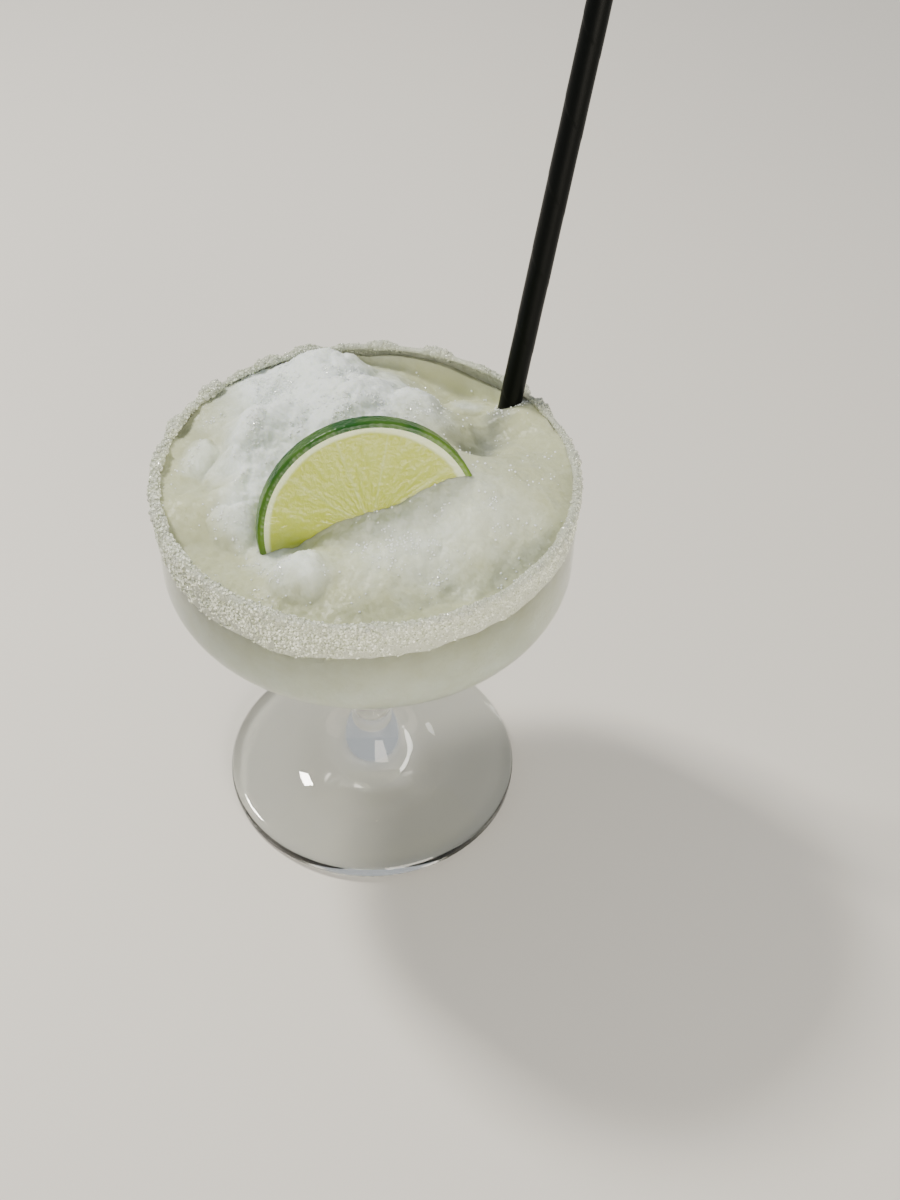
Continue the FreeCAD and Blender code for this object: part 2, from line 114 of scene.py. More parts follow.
# Where a smear of slush clings to the inside of the wall: azimuth, half width in degrees, and
# how much of the way up to the lip it reaches.
SMEARS = [(72, 40, 1), (50, 14, 0.4), (8, 14, 0.3), (150, 16, 0.3)]
# Where the slush is dry like snow: x, y, radius and how dry. The rest is wet.
DRY_PATCHES = [
    (-12, 22, 36, 1.6), (-22, 36, 18, 0.9), (-27, 2, 15, 0.9), (-29, -13, 12, 1),
    (-42, 5, 7, 0.7), (-14, -31, 11, 1), (-19, -24, 10, 0.6), (8, -22, 22, 0.5),
    (27, -16, 24, 0.4), (14, 22, 10, 0.4), (24, 35, 6, 0.6), (40, 36, 8, 0.8),
]
# The smallest and largest scattered grain, as shares of the mean.
SMALLEST_GRAIN, LARGEST_GRAIN = 0.45, 1.5
# How wet the slush looks through the glass.
SIDE_WET = 0.4
# The slush's relief in millimetres: width of the bumps, their height where it is wet, what
# dryness adds to that, and a seed.
SLUSH_RELIEF = [
    (12, 0.128, 0.672, 5), (7.5, 0.16, 0.84, 1), (3.6, 0.072, 0.378, 2), (1.7, 0.13, 0.12, 3),
    (0.8, 0.07, 0.06, 4),
]
# Where the slush meets the wall it climbs a little: height and width. A smear is thinner, and
# stops this far below the lip.
MENISCUS_HEIGHT, MENISCUS_WIDTH = 0.7, 0.9
SMEAR_WIDTH, SMEAR_DROP = 0.45, 0.8
# How far under the lip the straw's foot is taken to be, and the frost collar's radius round it.
FOOT_DROP, COLLAR_RADIUS = 2.5, 6.5
# How far the salt core reaches into the glass, so that no gap shows.
SALT_INTO_GLASS = 0.12


def srgb(code):
    """An sRGB hex colour as linear red, green and blue."""
    parts = [int(code[i:i + 2], 16) / 255 for i in (1, 3, 5)]
    return tuple(c / 12.92 if c <= 0.04045 else ((c + 0.055) / 1.055) ** 2.4 for c in parts)


def colour(name, description, code):
    return FloatVectorProperty(name=name, description=description, subtype="COLOR",
                               size=3, min=0.0, max=1.0, default=srgb(code))


def length(name, description, default):
    return FloatProperty(name=name, description=description, default=default, min=0.0,
                         unit="LENGTH", precision=5)


class GlassSettings(bpy.types.PropertyGroup):
    tint: colour("Tint", "Colour of the clear glass", "#FBFDFB")
    ripple: length("Ripple", "Width of the faint waves left by the mould", 9 * MM)


class SlushSettings(bpy.types.PropertyGroup):
    snow: colour("Snow", "Colour of the dry, airy ice", "#EDF4EE")
    wet: colour("Wet", "Colour of the ice that the drink has soaked", "#C3C6A2")
    # The clear colour is also painted shade: it darkens the notch by the straw and the slush round
    # the straw's foot, where the dark straw shows through.
    clear: colour("Clear", "Colour of thin clear ice over the dark drink", "#8C9080")
    into_wall: length("Into wall", "How far the slush reaches into the glass", 0.3 * MM)
    grain: length("Grain", "Size of the ice grains", 0.6 * MM)
    crystal: length("Crystal", "Mean size of a loose ice crystal", 0.5 * MM)
    density: FloatProperty(name="Density", description="Ice crystals to a square metre",
                           default=7e5)
    clods: IntProperty(name="Clods", description="Number of small clods on the heap", default=260)
    seed: IntProperty(name="Seed", description="Seed of the scattered clods", default=11)


class SaltSettings(bpy.types.PropertyGroup):
    crystal: colour("Crystal", "Colour of the salt crystals", "#F6F8E9")
    clear: colour("Clear", "Colour of the clearer crystals over the drink", "#B3B99C")
    paste: colour("Paste", "Colour of the damp fine salt under them", "#D6DABF")
    band: length("Band", "Height of the crust down the outside", 11.0 * MM)
    grain: length("Grain", "Mean size of a crystal", 0.46 * MM)
    density: FloatProperty(name="Density", description="Crystals to a square metre", default=3.3e6)
    lumps: IntProperty(name="Lumps", description="Number of icy lumps on the lip", default=560)
    seed: IntProperty(name="Seed", description="Seed of the scattered salt", default=4)


class LimeSettings(bpy.types.PropertyGroup):
    radius: length("Radius", "Radius of the lime wheel", 27.1 * MM)
    thickness: length("Thickness", "Thickness of the lime wheel", 4.6 * MM)
    rind: length("Rind", "Thickness of the green rind", 1.35 * MM)
    pith: length("Pith", "Thickness of the white pith", 1.7 * MM)
    segments: IntProperty(name="Segments", description="Segments of the pulp", default=10)
    pulp: colour("Pulp", "Colour of the pulp", "#B8C144")
    pith_colour: colour("Pith colour", "Colour of the pith and membranes", "#DFE6BE")
    rind_dark: colour("Rind", "Colour of the rind's dark side", "#124A08")
    rind_light: colour("Light rind", "Colour of the rind's yellower side", "#7C9A35")


class StrawSettings(bpy.types.PropertyGroup):
    paper: colour("Paper", "Colour of the dyed paper", "#030504")
    length: length("Length", "Length of the straw", 150 * MM)
    wall: length("Wall", "Thickness of the wound paper", 0.4 * MM)
    winding: length("Winding", "Rise of the paper strip in one turn", 19 * MM)
    seam: length("Seam", "Height of the step at the strip's edge", 0.07 * MM)


class StageSettings(bpy.types.PropertyGroup):
    floor: colour("Floor", "Colour of the plain floor", "#E4DFD6")
    key: FloatProperty(name="Key light", description="Power of the main lamp", default=8.0,
                       unit="POWER")
    fill: FloatProperty(name="Fill light", description="Power of the fill lamp", default=8.5,
                        unit="POWER")
    lens: FloatProperty(name="Lens", description="Focal length in millimetres", default=48.0)


SETTINGS = {
    "glass": GlassSettings,
    "slush": SlushSettings,
    "salt": SaltSettings,
    "lime": LimeSettings,
    "straw": StrawSettings,
    "stage": StageSettings,
}


def settings(name):
    return getattr(bpy.context.scene, "margarita_" + name)


def add(tree, kind, options=None, inputs=None):
    """Add one node to a tree with its options; each input, by name or number, is set or linked."""
    made = tree.nodes.new(kind)
    for name, value in (options or {}).items():
        setattr(made, name, value)
    for name, value in (inputs or {}).items():
        if isinstance(value, bpy.types.NodeSocket):
            tree.links.new(value, made.inputs[name])
        else:
            made.inputs[name].default_value = value
    return made


def new_material(name):
    """A material with an empty node tree."""
    material = bpy.data.materials.new(name)
    material.use_nodes = True
    material.node_tree.nodes.clear()
    return material, material.node_tree


def opaque(rgb):
    return (*rgb, 1.0)


def mesh_piece(name, vertices, faces, materials, attributes=None, face_material=None):
    """A smooth mesh object in metres from vertices in millimetres, with its own attributes."""
    mesh = bpy.data.meshes.new(name)
    corners = [[int(corner) for corner in face] for face in faces]
    mesh.from_pydata((np.asarray(vertices) * MM).tolist(), [], corners)
    mesh.polygons.foreach_set("use_smooth", [True] * len(faces))
    for material in materials:
        mesh.materials.append(material)
    if face_material is not None:
        mesh.polygons.foreach_set("material_index", face_material.astype(np.int32))
    for key, values in (attributes or {}).items():
        layer = mesh.attributes.new(key, "FLOAT", "POINT")
        layer.data.foreach_set("value", np.asarray(values, dtype=np.float32))
    mesh.validate()
    mesh.update()
    piece = bpy.data.objects.new(name, mesh)
    bpy.context.scene.collection.objects.link(piece)
    return piece


def band_faces(rings, spokes, closed_rings=False):
    """Quads between rings of points that each run once round.

    They face away from the axis where the rings go up it.
    """
    ring = np.arange(rings if closed_rings else rings - 1)
    spoke = np.arange(spokes)
    i, j = np.meshgrid(ring, spoke, indexing="ij")
    after = (i + 1) % rings
    beside = (j + 1) % spokes
    corners = (i * spokes + j, i * spokes + beside, after * spokes + beside, after * spokes + j)
    return np.stack([c.ravel() for c in corners], axis=1)


def fan_faces(centre, first, spokes, flip=False):
    """Triangles from a middle point to a ring round it, facing up, or down when flipped."""
    j = np.arange(spokes)
    here, beside = first + j, first + (j + 1) % spokes
    middle = np.full(spokes, centre)
    order = (middle, beside, here) if flip else (middle, here, beside)
    return np.stack(order, axis=1)


def turned_faces(rings, spokes):
    """Faces of a closed turned shape, facing out; its two middle points come after its rings."""
    count = rings * spokes
    return [
        *band_faces(rings, spokes)[:, ::-1],
        *fan_faces(count, 0, spokes),
        *fan_faces(count + 1, count - spokes, spokes, flip=True),
    ]


def soft_noise(u, v, seed, wrap=64):
    """Smooth noise from -1 to 1 with one bump to a unit of u and v; u repeats after wrap."""
    table = np.random.default_rng(seed).uniform(-1, 1, (wrap, 64))
    i, j = np.floor(u).astype(int), np.floor(v).astype(int)
    x, y = u - i, v - j
    x, y = x * x * x * (x * (6 * x - 15) + 10), y * y * y * (y * (6 * y - 15) + 10)
    low = table[i % wrap, j % 64] * (1 - x) + table[(i + 1) % wrap, j % 64] * x
    high = table[i % wrap, (j + 1) % 64] * (1 - x) + table[(i + 1) % wrap, (j + 1) % 64] * x
    return low * (1 - y) + high * y


def plane_noise(x, y, cell, seed):
    """Soft noise over a plane, turned by its seed so that layers don't line up."""
    turn = 0.7 * seed
    u = (x * math.cos(turn) - y * math.sin(turn)) / cell
    v = (x * math.sin(turn) + y * math.cos(turn)) / cell
    return soft_noise(u + 31.7, v + 17.3, seed)


def degrees_away(turn, centre):
    """How far a turn in radians is from a centre in degrees, the short way round."""
    return np.abs((np.degrees(turn) - centre + 180) % 360 - 180)


def bump(distance, radius):
    """A round bump: one at its centre, nothing from its radius on."""
    share = np.minimum(distance / radius, 1.0)
    return (1 - share**2) ** 2


def bowl_inside(reach_in):
    """Radius and height of points down the bowl's inside, reaching a little into its wall."""
    reach = RIM_RADIUS - KNUCKLE_RADIUS
    knuckle_z = LIP - WALL_DROP
    floor_z = LIP - BOWL_DEPTH + BOWL_FLOOR
    knuckle = KNUCKLE_RADIUS - WALL
    rise = knuckle_z - floor_z
    radius = (reach**2 + rise**2 - knuckle**2) / (2 * (rise - knuckle))
    centre_z = floor_z + radius
    turn = math.atan2(knuckle_z - centre_z, reach)
    points = []
    for angle in np.linspace(0, turn, 14):
        r = reach + (knuckle + reach_in) * math.cos(angle)
        points.append((r, knuckle_z + (knuckle + reach_in) * math.sin(angle)))
    for angle in np.linspace(turn, -math.pi / 2, 26)[1:]:
        points.append(((radius + reach_in) * math.cos(angle),
                       centre_z + (radius + reach_in) * math.sin(angle)))
    return points


# Clear soda-lime glass, pressed and fire-polished: colourless, with faint long waves.
def clear_glass():
    look = settings("glass")
    material, tree = new_material("soda_lime_glass_fire_polished")
    place = add(tree, "ShaderNodeTexCoord").outputs["Object"]
    waves = add(tree, "ShaderNodeTexNoise", None, {
        "Vector": place, "Scale": 1 / look.ripple, "Detail": 1.0})
    relief = add(tree, "ShaderNodeBump", None, {
        "Height": waves.outputs["Fac"], "Strength": 0.06, "Distance": 0.4 * MM})
    shader = add(tree, "ShaderNodeBsdfPrincipled", None, {
        "Base Color": opaque(look.tint), "Roughness": 0.015, "IOR": 1.5,
        "Transmission Weight": 1.0, "Normal": relief.outputs["Normal"]})
    add(tree, "ShaderNodeOutputMaterial", None, {"Surface": shader.outputs["BSDF"]})
    return material


# Blended ice with lime juice: airy snow where it has drained, glassy and darker where it is wet.
def frozen_slush():
    look = settings("slush")
    material, tree = new_material("blended_ice_slush")
    place = add(tree, "ShaderNodeTexCoord").outputs["Object"]
    wet = add(tree, "ShaderNodeAttribute", {"attribute_name": "wet"}).outputs["Fac"]
    clear = add(tree, "ShaderNodeAttribute", {"attribute_name": "clear"}).outputs["Fac"]
    patches = add(tree, "ShaderNodeTexNoise", None, {
        "Vector": place, "Scale": 1 / (6 * MM), "Detail": 4.0, "Roughness": 0.6})
    uneven = add(tree, "ShaderNodeMapRange", None, {
        "Value": patches.outputs["Fac"], "To Min": -0.3, "To Max": 0.3})
    share = add(tree, "ShaderNodeMath", {"operation": "ADD", "use_clamp": True}, {
        0: wet, 1: uneven.outputs[0]})
    base = add(tree, "ShaderNodeMix", {"data_type": "RGBA"}, {
        0: share.outputs[0], 6: opaque(look.snow), 7: opaque(look.wet)}).outputs[2]
    # Painted shade: the clear layer darkens thin wet ice, and also the notch and the straw's foot,
    # as painted shade and the dark straw seen through the ice.
    base = add(tree, "ShaderNodeMix", {"data_type": "RGBA"}, {
        0: clear, 6: base, 7: opaque(look.clear)}).outputs[2]
    # Each grain of ice is a facet that tilts its own way, so some of them glint.
    facets = add(tree, "ShaderNodeTexVoronoi", None, {"Vector": place, "Scale": 1 / look.grain})
    tilt = add(tree, "ShaderNodeVectorMath", {"operation": "SUBTRACT"}, {
        0: facets.outputs["Color"], 1: (0.5, 0.5, 0.5)})
    amount = add(tree, "ShaderNodeMapRange", None, {
        "Value": share.outputs[0], "To Min": 0.4, "To Max": 0.22})
    lean = add(tree, "ShaderNodeVectorMath", {"operation": "SCALE"}, {
        0: tilt.outputs[0], "Scale": amount.outputs[0]})
    facing = add(tree, "ShaderNodeVectorMath", {"operation": "ADD"}, {
        0: add(tree, "ShaderNodeNewGeometry").outputs["Normal"], 1: lean.outputs[0]})
    unit = add(tree, "ShaderNodeVectorMath", {"operation": "NORMALIZE"}, {
        0: facing.outputs[0]})
    fine = add(tree, "ShaderNodeTexNoise", None, {
        "Vector": place, "Scale": 1 / (0.5 * MM), "Detail": 3.0, "Roughness": 0.7})
    depth = add(tree, "ShaderNodeMapRange", None, {
        "Value": share.outputs[0], "To Min": 0.5, "To Max": 0.28})
    relief = add(tree, "ShaderNodeBump", None, {
        "Height": fine.outputs["Fac"], "Strength": depth.outputs[0], "Distance": 0.2 * MM,
        "Normal": unit.outputs[0]})
    gloss = add(tree, "ShaderNodeMapRange", None, {
        "Value": share.outputs[0], "To Min": 0.5, "To Max": 0.34})
    shader = add(tree, "ShaderNodeBsdfPrincipled", None, {
        "Base Color": base, "Roughness": gloss.outputs[0], "IOR": 1.31,
        "Subsurface Weight": 0.85, "Subsurface Radius": (1.0, 1.0, 0.85),
        "Subsurface Scale": 2.6 * MM, "Normal": relief.outputs["Normal"]})
    add(tree, "ShaderNodeOutputMaterial", None, {"Surface": shader.outputs["BSDF"]})
    return material


# Loose ice crystals on the slush: clear and wet, so each gives a point of light.
def ice_crystal():
    look = settings("slush")
    material, tree = new_material("clear_ice_crystals")
    place = add(tree, "ShaderNodeTexCoord").outputs["Object"]
    tone = add(tree, "ShaderNodeTexNoise", None, {
        "Vector": place, "Scale": 1 / (2 * MM), "Detail": 1.0})
    base = add(tree, "ShaderNodeMix", {"data_type": "RGBA"}, {
        0: tone.outputs["Fac"], 6: opaque(look.snow), 7: (1.0, 1.0, 1.0, 1.0)}).outputs[2]
    shader = add(tree, "ShaderNodeBsdfPrincipled", None, {
        "Base Color": base, "Roughness": 0.08, "IOR": 1.5})
    add(tree, "ShaderNodeOutputMaterial", None, {"Surface": shader.outputs["BSDF"]})
    return material


# Rock salt crystals: small cubes, some milky and some clear, that glint one by one.
def salt_crystal():
    look = settings("salt")
    material, tree = new_material("rock_salt_crystals")
    place = add(tree, "ShaderNodeTexCoord").outputs["Object"]
    tone = add(tree, "ShaderNodeTexNoise", None, {
        "Vector": place, "Scale": 1 / (0.7 * MM), "Detail": 1.0})
    milky = add(tree, "ShaderNodeMapRange", None, {
        "Value": tone.outputs["Fac"], "From Min": 0.35, "From Max": 0.6})
    base = add(tree, "ShaderNodeMix", {"data_type": "RGBA"}, {
        0: milky.outputs[0], 6: opaque(look.clear), 7: opaque(look.crystal)}).outputs[2]
    shader = add(tree, "ShaderNodeBsdfPrincipled", None, {
        "Base Color": base, "Roughness": 0.1, "IOR": 1.54})
    add(tree, "ShaderNodeOutputMaterial", None, {"Surface": shader.outputs["BSDF"]})
    return material


# Clear lumps where salt and frozen drink have set together on the lip.
def icy_salt():
    look = settings("salt")
    material, tree = new_material("salt_set_with_frozen_drink")
    place = add(tree, "ShaderNodeTexCoord").outputs["Object"]
    frost = add(tree, "ShaderNodeTexNoise", None, {
        "Vector": place, "Scale": 1 / (0.7 * MM), "Detail": 3.0})
    relief = add(tree, "ShaderNodeBump", None, {
        "Height": frost.outputs["Fac"], "Strength": 0.4, "Distance": 0.15 * MM})
    shader = add(tree, "ShaderNodeBsdfPrincipled", None, {
        "Base Color": opaque(look.crystal), "Roughness": 0.1, "IOR": 1.38,
        "Transmission Weight": 0.5, "Normal": relief.outputs["Normal"]})
    add(tree, "ShaderNodeOutputMaterial", None, {"Surface": shader.outputs["BSDF"]})
    return material


# Damp fine salt pressed onto the glass: off-white, granular, and the drink shows through it.
def damp_salt():
    look = settings("salt")
    material, tree = new_material("damp_fine_salt")
    place = add(tree, "ShaderNodeTexCoord").outputs["Object"]
    grain = add(tree, "ShaderNodeTexVoronoi", None, {"Vector": place, "Scale": 1 / (0.45 * MM)})
    tone = add(tree, "ShaderNodeTexNoise", None, {
        "Vector": place, "Scale": 1 / (2.5 * MM), "Detail": 5.0, "Roughness": 0.7})
    base = add(tree, "ShaderNodeMix", {"data_type": "RGBA"}, {
        0: tone.outputs["Fac"], 6: opaque(look.paste), 7: opaque(look.crystal)}).outputs[2]
    relief = add(tree, "ShaderNodeBump", {"invert": True}, {
        "Height": grain.outputs["Distance"], "Strength": 0.8, "Distance": 0.25 * MM})
    shader = add(tree, "ShaderNodeBsdfPrincipled", None, {
        "Base Color": base, "Roughness": 0.35, "IOR": 1.4, "Transmission Weight": 0.4,
        "Normal": relief.outputs["Normal"]})
    add(tree, "ShaderNodeOutputMaterial", None, {"Surface": shader.outputs["BSDF"]})
    return material


# Cut lime: wet translucent pulp in segments, with pale membranes and a white ring of pith.
def cut_lime():
    look = settings("lime")
    material, tree = new_material("cut_lime_pulp")
    place = add(tree, "ShaderNodeTexCoord").outputs["Object"]
    membrane = add(tree, "ShaderNodeAttribute", {"attribute_name": "membrane"}).outputs["Fac"]
    sac = add(tree, "ShaderNodeAttribute", {"attribute_name": "sac"}).outputs["Fac"]
    pale = add(tree, "ShaderNodeMapRange", None, {"Value": sac, "To Min": 0.0, "To Max": 0.09})
    pulp = add(tree, "ShaderNodeMix", {"data_type": "RGBA"}, {
        0: pale.outputs[0], 6: opaque(look.pulp), 7: opaque(look.pith_colour)}).outputs[2]
    base = add(tree, "ShaderNodeMix", {"data_type": "RGBA"}, {
        0: membrane, 6: pulp, 7: opaque(look.pith_colour)}).outputs[2]
    fine = add(tree, "ShaderNodeTexNoise", None, {
        "Vector": place, "Scale": 1 / (0.8 * MM), "Detail": 2.0})
    relief = add(tree, "ShaderNodeBump", None, {
        "Height": fine.outputs["Fac"], "Strength": 0.55, "Distance": 0.2 * MM})
    shader = add(tree, "ShaderNodeBsdfPrincipled", None, {
        "Base Color": base, "Roughness": 0.12, "IOR": 1.36, "Subsurface Weight": 0.8,
        "Subsurface Radius": (1.0, 1.0, 0.4), "Subsurface Scale": 2.0 * MM,
        "Normal": relief.outputs["Normal"]})
    add(tree, "ShaderNodeOutputMaterial", None, {"Surface": shader.outputs["BSDF"]})
    return material


# Lime rind: waxy green skin with fine oil pores, yellower to one side.
def lime_rind():
    look = settings("lime")
    material, tree = new_material("waxy_lime_rind")
    place = add(tree, "ShaderNodeTexCoord").outputs["Object"]
    ripe = add(tree, "ShaderNodeAttribute", {"attribute_name": "ripe"}).outputs["Fac"]
    base = add(tree, "ShaderNodeMix", {"data_type": "RGBA"}, {
        0: ripe, 6: opaque(look.rind_dark), 7: opaque(look.rind_light)}).outputs[2]
    pores = add(tree, "ShaderNodeTexVoronoi", None, {"Vector": place, "Scale": 1 / (1.1 * MM)})
    relief = add(tree, "ShaderNodeBump", None, {
        "Height": pores.outputs["Distance"], "Strength": 0.5, "Distance": 0.25 * MM})
    shader = add(tree, "ShaderNodeBsdfPrincipled", None, {
        "Base Color": base, "Roughness": 0.33, "IOR": 1.38, "Subsurface Weight": 0.15,
        "Subsurface Radius": (0.6, 1.0, 0.3), "Subsurface Scale": 0.6 * MM,
        "Normal": relief.outputs["Normal"]})
    add(tree, "ShaderNodeOutputMaterial", None, {"Surface": shader.outputs["BSDF"]})
    return material


# Black drinking straw of dyed paper, spiral wound and waxed: satin, with a fibre grain.
def straw_paper():
    look = settings("straw")
    material, tree = new_material("waxed_black_paper")
    place = add(tree, "ShaderNodeTexCoord").outputs["Object"]
    fibre = add(tree, "ShaderNodeTexNoise", None, {
        "Vector": place, "Scale": 1 / (0.6 * MM), "Detail": 4.0, "Roughness": 0.7})
    gloss = add(tree, "ShaderNodeMapRange", None, {
        "Value": fibre.outputs["Fac"], "To Min": 0.3, "To Max": 0.48})
    relief = add(tree, "ShaderNodeBump", None, {
        "Height": fibre.outputs["Fac"], "Strength": 0.35, "Distance": 0.08 * MM})
    shader = add(tree, "ShaderNodeBsdfPrincipled", None, {
        "Base Color": opaque(look.paper), "Roughness": gloss.outputs[0], "IOR": 1.2,
        "Normal": relief.outputs["Normal"]})
    add(tree, "ShaderNodeOutputMaterial", None, {"Surface": shader.outputs["BSDF"]})
    return material


# Plain matt studio board.
def studio_board():
    look = settings("stage")
    material, tree = new_material("matt_studio_board")
    place = add(tree, "ShaderNodeTexCoord").outputs["Object"]
    mottle = add(tree, "ShaderNodeTexNoise", None, {
        "Vector": place, "Scale": 1 / (25 * MM), "Detail": 3.0})
    gloss = add(tree, "ShaderNodeMapRange", None, {
        "Value": mottle.outputs["Fac"], "To Min": 0.55, "To Max": 0.65})
    shader = add(tree, "ShaderNodeBsdfPrincipled", None, {
        "Base Color": opaque(look.floor), "Roughness": gloss.outputs[0]})
    add(tree, "ShaderNodeOutputMaterial", None, {"Surface": shader.outputs["BSDF"]})
    return material


def slush_clods(seed, count):
    """Places, radii and heights of small clods, most of them on the dry heap."""
    chance = np.random.default_rng(seed)
    clods = []
    while len(clods) < count:
        angle, share = chance.uniform(0, TAU), math.sqrt(chance.uniform(0, 1))
        x, y = INSIDE * share * math.cos(angle), INSIDE * share * math.sin(angle)
        radius = chance.uniform(1.3, 4.5)
        dry = float(dryness(np.array([x]), np.array([y]))[0])
        if chance.uniform(0, 1) < 0.12 + dry:
            clods.append((x, y, radius, radius * chance.uniform(0.14, 0.3)))
    return clods


def dryness(x, y):
    """How dry the slush is at x and y, from nought to one."""
    dry = np.zeros_like(x)
    for patch_x, patch_y, radius, amount in DRY_PATCHES:
        dry += amount * bump(np.hypot(x - patch_x, y - patch_y), radius)
    return np.clip(dry, 0, 1)


def slush_surface(x, y, clods):
    """Height of the slush's surface, how wet it is there, and how clear it is there, which also
    carries painted shade by the straw's foot and in the notch.
    """
    z = np.full_like(x, LIP - SLUSH_DROP)
    for lump_x, lump_y, radius, height in SLUSH_LUMPS:
        z += height * bump(np.hypot(x - lump_x, y - lump_y), radius)
    bent_x = x + 1.8 * plane_noise(x, y, 6, 21) + 0.5 * plane_noise(x, y, 2, 23)
    bent_y = y + 1.8 * plane_noise(x, y, 6, 22) + 0.5 * plane_noise(x, y, 2, 24)
    dry = dryness(bent_x, bent_y)
    knobs, hollows = np.zeros_like(x), np.zeros_like(x)
    for knob_x, knob_y, radius, height in SLUSH_KNOBS:
        share = np.hypot(bent_x - knob_x, bent_y - knob_y) / radius
        cap = height * np.maximum(1 - share**2, 0) ** 0.8
        knobs, hollows = np.maximum(knobs, cap), np.minimum(hollows, cap)
    caps = np.zeros_like(x)
    for clod_x, clod_y, radius, height in clods:
        share = np.hypot(bent_x - clod_x, bent_y - clod_y) / radius
        caps = np.maximum(caps, height * np.maximum(1 - share**2, 0) ** 0.7)
    z += knobs + hollows + caps * (0.25 + 0.75 * dry)
    for width, wet_height, dry_gain, seed in SLUSH_RELIEF:
        z += (wet_height + dry_gain * dry) * plane_noise(x, y, width, seed)
    gap, turn = INSIDE - np.hypot(x, y), np.arctan2(y, x)
    z += MENISCUS_HEIGHT * np.exp(-np.maximum(gap, 0) / MENISCUS_WIDTH)
    for centre, half_width, amount in SMEARS:
        edge = 0.8 + 0.2 * lip_noise(turn, 0 * turn, 37, 1.0, 71)
        climb = amount * edge * bump(degrees_away(turn, centre), half_width)
        climb *= np.exp(-np.maximum(gap, 0) / SMEAR_WIDTH)
        z += climb * np.maximum(LIP - SMEAR_DROP - z, 0)
    # Darker patches: thin clear ice at the left, and painted shade by the straw's foot and in the
    # notch beside it.
    clear = sum(amount * bump(np.hypot(bent_x - patch_x, bent_y - patch_y), radius)
                for patch_x, patch_y, radius, amount in CLEAR_AND_SHADED_PATCHES)
    return z, 1 - dry, np.clip(clear, 0, 1)


class MARGARITA_OT_glass(bpy.types.Operator):
    """Give the glass its clear, faintly rippled finish"""
    bl_idname = "margarita.glass"
    bl_label = "Glass"

    def execute(self, context):
        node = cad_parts["glass"]
        node.data.materials.clear()
        node.data.materials.append(clear_glass())
        return {"FINISHED"}


class MARGARITA_OT_slush(bpy.types.Operator):
    """Build the heaped slush, which reaches just into the wall of the glass"""
    bl_idname = "margarita.slush"
    bl_label = "Slush"

    def execute(self, context):
        look = settings("slush")
        spokes, rings = 560, 128
        outer = INSIDE + look.into_wall / MM
        radii = outer * (np.arange(1, rings + 1) / rings)
        turns = TAU * np.arange(spokes) / spokes
        r, turn = np.meshgrid(radii, turns, indexing="ij")
        x, y = r * np.cos(turn), r * np.sin(turn)
        clods = slush_clods(look.seed, look.clods)
        z, wet, clear = slush_surface(x, y, clods)
        middle = slush_surface(np.zeros(1), np.zeros(1), clods)
        *inside, floor = bowl_inside(look.into_wall / MM)
        sides = [
            np.stack([pr * np.cos(turns), pr * np.sin(turns), np.full(spokes, pz)], axis=-1)
            for pr, pz in inside
        ]
        # Rings run from the top's middle out to the wall, then down the inside to the floor.
        rows = [*np.stack([x, y, z], axis=-1), *sides]
        points = np.concatenate([np.array(rows).reshape(-1, 3),
                                 [[0, 0, middle[0][0]], [0, 0, floor[1]]]])
        faces = turned_faces(len(rows), spokes)
        side_wet = np.full(len(sides) * spokes, SIDE_WET)
        wetness = np.concatenate([wet.ravel(), side_wet, middle[1], [SIDE_WET]])
        # This layer carries thin clear ice and the painted shade by the straw's foot and in the
        # notch.
        clear_and_shade = np.concatenate([clear.ravel(), 0 * side_wet, middle[2], [0.0]])
        glints = np.clip(0.9 * (1 - wet) + 0.12, 0, 1) * (np.hypot(x, y) < INSIDE - 0.6)
        glints *= np.clip(0.25 + 2.4 * plane_noise(x, y, 5, 61), 0.03, 2.2)
        # Frost gathers in a collar where the straw stands in the slush.
        foot = straw_foot()
        glints += 2.6 * bump(np.hypot(x - foot.x, y - foot.y), COLLAR_RADIUS)
        chips = np.concatenate([glints.ravel(), 0 * side_wet, [0.0, 0.0]])
        piece = mesh_piece("slush_heap", points, faces, [frozen_slush()],
                           {"wet": wetness, "clear": clear_and_shade, "grains": chips,
                            "coarse": np.ones(len(points))})
        crystals = scatter("ice_crystals", piece, scatter_tree("Ice Scatter", chip_grain),
                           ice_crystal(), look.crystal, look.density, look.seed)
        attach(piece, "root")
        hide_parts("slush")
        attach(crystals, "root")
        return {"FINISHED"}


def lip_noise(turn, up, cells, height, seed):
    """Noise round the lip that closes on itself: cells to a turn, and a height in millimetres."""
    return soft_noise(turn / TAU * cells, up / height + 9.5, seed, cells)


def lip_clumps(turn):
    """How much salt and ice has gathered on the lip at a turn, from nought to about one."""
    heap = 0.3 + 0.3 * lip_noise(turn, np.zeros_like(turn), 29, 1.0, 5)
    for centre, half_width, amount in LIP_CLUMPS:
        share = degrees_away(turn, centre) / half_width
        heap = np.maximum(heap, amount * np.clip(1.4 - share, 0, 1) ** 0.7)
    for centre, half_width in BARE_LIP:
        share = degrees_away(turn, centre) / half_width
        heap = heap * (1 - 0.85 * np.clip(1.5 - share, 0, 1))
    return np.clip(heap, 0, 1)


